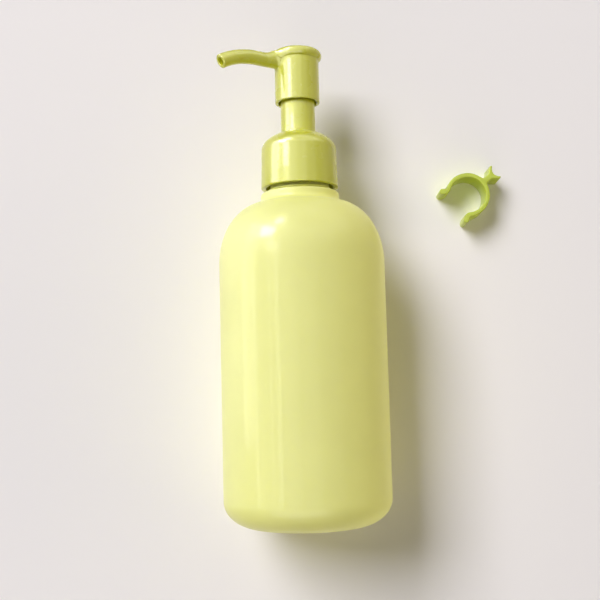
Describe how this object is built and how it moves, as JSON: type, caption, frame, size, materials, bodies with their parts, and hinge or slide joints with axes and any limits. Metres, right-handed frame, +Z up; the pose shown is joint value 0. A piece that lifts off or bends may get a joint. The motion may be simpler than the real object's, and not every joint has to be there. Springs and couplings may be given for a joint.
{
  "type": "pump bottle",
  "caption": "Round lotion bottle with a screw-on closure and a dispensing pump with a curved spout, its lock clip taken off beside it",
  "frame": {"origin": "centre of the bottle's base: on its axis, in the plane of the ring that it stands on", "axes": "+Z up along the pump's axis, the spout points to -X and 28 degrees towards -Y, the picture looks along +Y"},
  "size_m": [0.108, 0.06, 0.1735],
  "materials": {
    "bottle_plastic": "smooth gloss, pale yellow-green",
    "pump_plastic": "smooth gloss, yellow-green",
    "clip_plastic": "satin moulded, stronger yellow-green",
    "natural_plastic": "natural polypropylene",
    "tube_plastic": "natural polyethylene tube",
    "gasket_foam": "white foamed polyethylene",
    "spring_steel": "drawn stainless wire",
    "ball_steel": "polished stainless ball"
  },
  "bodies": {
    "bottle": {"bottle": "bottle_plastic"},
    "pump_unit": {"pump_housing": "natural_plastic", "guide_sleeve": "pump_plastic", "dip_tube": "tube_plastic", "neck_gasket": "gasket_foam", "return_spring": "spring_steel"},
    "closure": {"closure": "pump_plastic"},
    "plunger": {"piston_rod": "natural_plastic", "valve_post": "natural_plastic"},
    "head": {"pump_head": "pump_plastic"},
    "piston": {"piston_seal": "natural_plastic"},
    "ball": {"inlet_ball": "ball_steel"},
    "clip": {"lock_clip": "clip_plastic"}
  },
  "joints": [
    {"name": "pump_rise", "type": "slide", "parent": "bottle", "child": "pump_unit", "axis": [0, 0, 1], "range_m": [0, 0.00476]},
    {"name": "closure_turn", "type": "hinge", "parent": "pump_unit", "child": "closure", "pos_m": [0, 0, 0.13], "axis": [0, 0, 1], "range_deg": [0, 540]},
    {"name": "pump_stroke", "type": "slide", "parent": "pump_unit", "child": "plunger", "axis": [0, 0, 1], "range_m": [-0.0112, 0], "stiffness_N_per_m": 1280, "springref_m": 0.0047, "deforming": ["return_spring"]},
    {"name": "head_spin", "type": "hinge", "parent": "plunger", "child": "head", "pos_m": [0, 0, 0.16], "axis": [0, 0, 1], "continuous": true},
    {"name": "seal_slip", "type": "slide", "parent": "plunger", "child": "piston", "axis": [0, 0, 1], "range_m": [0, 0.001]},
    {"name": "ball_lift", "type": "slide", "parent": "pump_unit", "child": "ball", "axis": [0, 0, 1], "range_m": [0, 0.0015]},
    {"name": "clip_slide", "type": "slide", "parent": "bottle", "child": "clip", "axis": [0, 0, 1], "range_m": [-0.11, 0]}
  ],
  "couplings": [
    {"joint": "closure_turn", "follows": "pump_rise", "rad_per_m": 1979}
  ]
}
